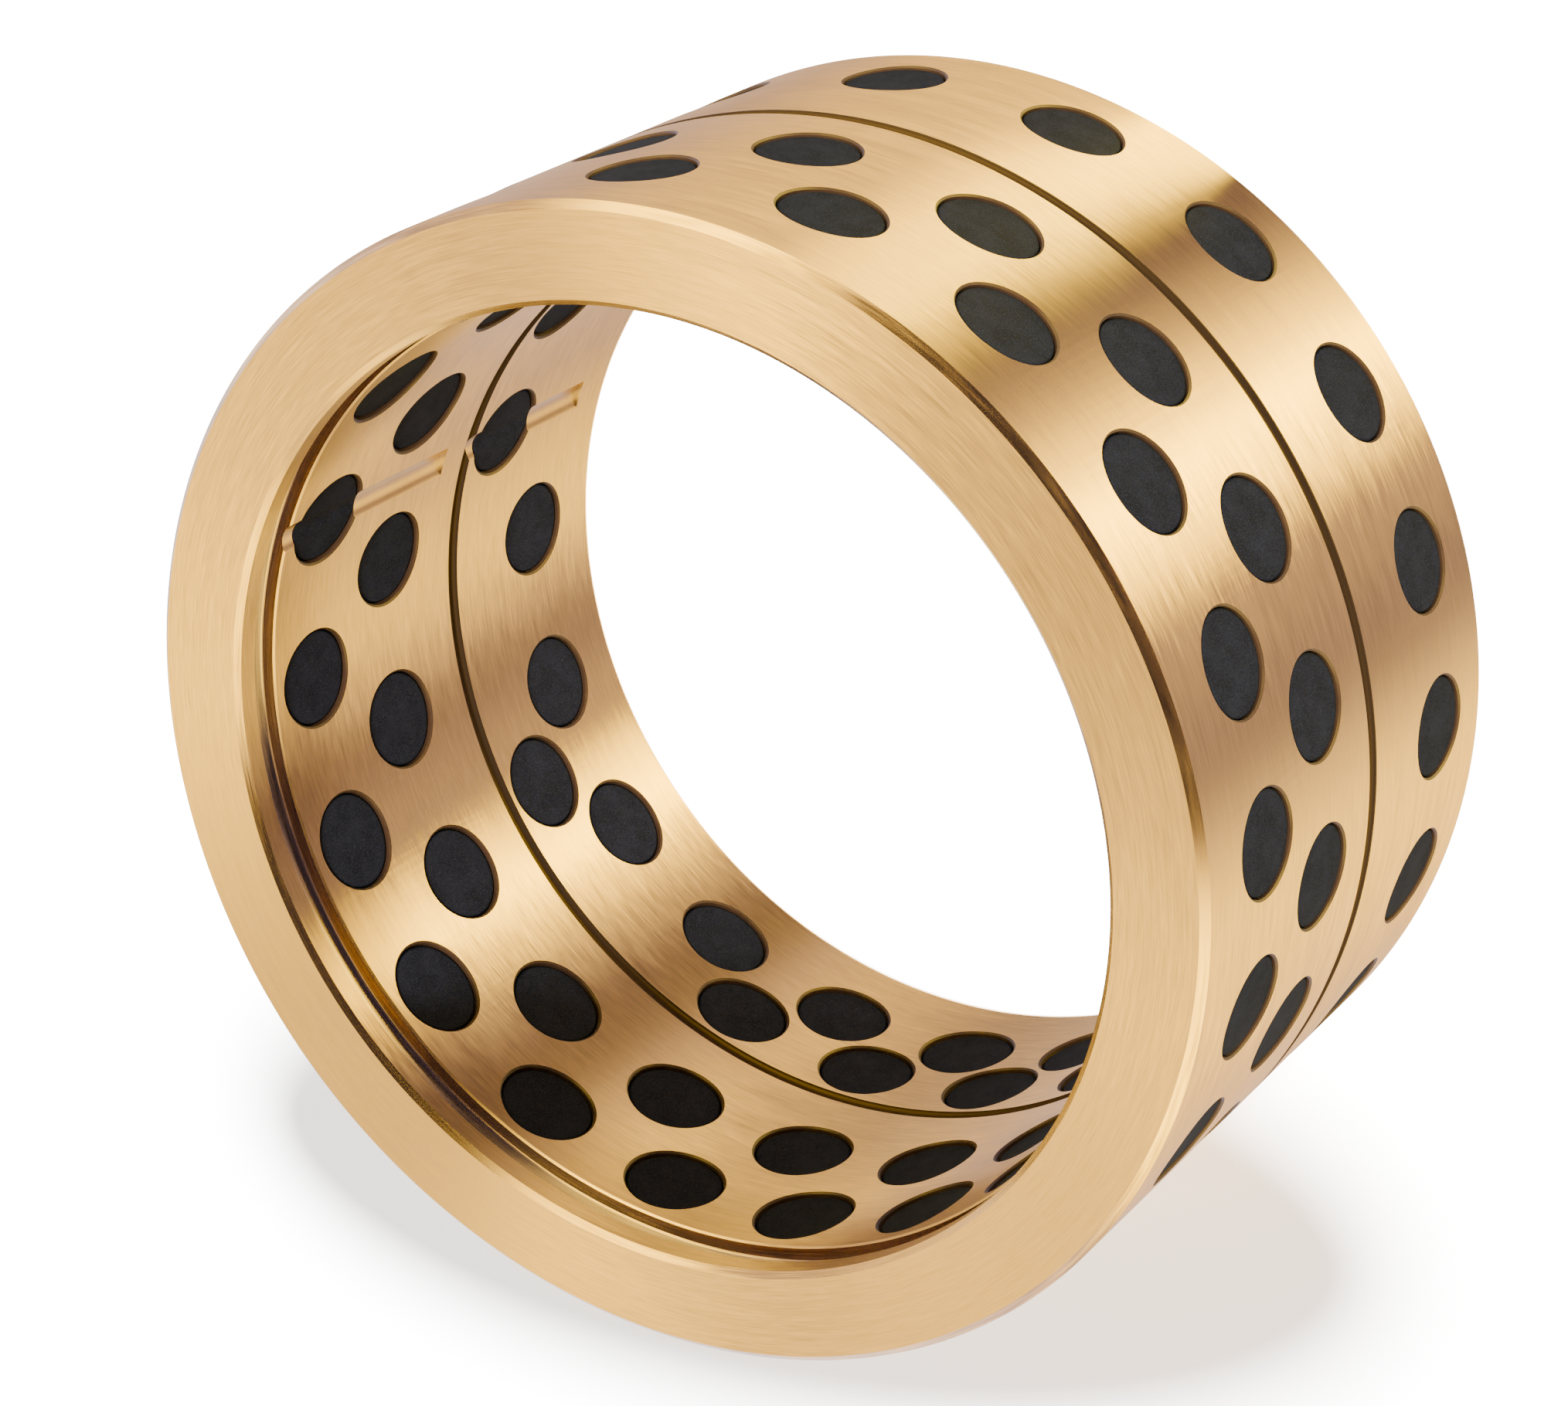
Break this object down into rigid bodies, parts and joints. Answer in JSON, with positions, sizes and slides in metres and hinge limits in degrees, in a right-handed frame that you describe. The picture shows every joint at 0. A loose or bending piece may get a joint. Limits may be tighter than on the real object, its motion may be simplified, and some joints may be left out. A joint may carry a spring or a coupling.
{
  "type": "graphite plugged bushing",
  "caption": "Thick-walled bronze sleeve bushing with solid graphite plugs through its wall, grease grooves outside and along the bore, and a seal groove inside its front end.",
  "frame": {"origin": "on the bushing's axis, in the plane of its plain back end, on which it stands", "axes": "+Z along the bushing's axis from the plain back end to the front end with the seal groove; angles from +X towards +Y, with the axial grease groove of the bore at -33.4 degrees"},
  "size_m": [0.12, 0.12, 0.064],
  "materials": {
    "bronze": "satin",
    "graphite": "matte"
  },
  "bodies": {
    "root": {"bronze_sleeve": "bronze", "graphite_plug_back_01": "graphite", "graphite_plug_back_02": "graphite", "graphite_plug_back_03": "graphite", "graphite_plug_back_04": "graphite", "graphite_plug_back_05": "graphite", "graphite_plug_back_06": "graphite", "graphite_plug_back_07": "graphite", "graphite_plug_back_08": "graphite", "graphite_plug_back_09": "graphite", "graphite_plug_back_10": "graphite", "graphite_plug_back_11": "graphite", "graphite_plug_back_12": "graphite", "graphite_plug_back_13": "graphite", "graphite_plug_back_14": "graphite", "graphite_plug_back_15": "graphite", "graphite_plug_back_16": "graphite", "graphite_plug_back_17": "graphite", "graphite_plug_front_01": "graphite", "graphite_plug_front_02": "graphite", "graphite_plug_front_03": "graphite", "graphite_plug_front_04": "graphite", "graphite_plug_front_05": "graphite", "graphite_plug_front_06": "graphite", "graphite_plug_front_07": "graphite", "graphite_plug_front_08": "graphite", "graphite_plug_front_09": "graphite", "graphite_plug_front_10": "graphite", "graphite_plug_front_11": "graphite", "graphite_plug_front_12": "graphite", "graphite_plug_front_13": "graphite", "graphite_plug_front_14": "graphite", "graphite_plug_front_15": "graphite", "graphite_plug_front_16": "graphite", "graphite_plug_front_17": "graphite", "graphite_plug_front_18": "graphite", "graphite_plug_front_19": "graphite", "graphite_plug_middle_01": "graphite", "graphite_plug_middle_02": "graphite", "graphite_plug_middle_03": "graphite", "graphite_plug_middle_04": "graphite", "graphite_plug_middle_05": "graphite", "graphite_plug_middle_06": "graphite", "graphite_plug_middle_07": "graphite", "graphite_plug_middle_08": "graphite", "graphite_plug_middle_09": "graphite", "graphite_plug_middle_10": "graphite", "graphite_plug_middle_11": "graphite", "graphite_plug_middle_12": "graphite", "graphite_plug_middle_13": "graphite", "graphite_plug_middle_14": "graphite", "graphite_plug_middle_15": "graphite", "graphite_plug_middle_16": "graphite", "graphite_plug_middle_17": "graphite", "graphite_plug_middle_18": "graphite", "graphite_plug_middle_19": "graphite", "graphite_plugs_fill": "graphite"}
  },
  "joints": []
}
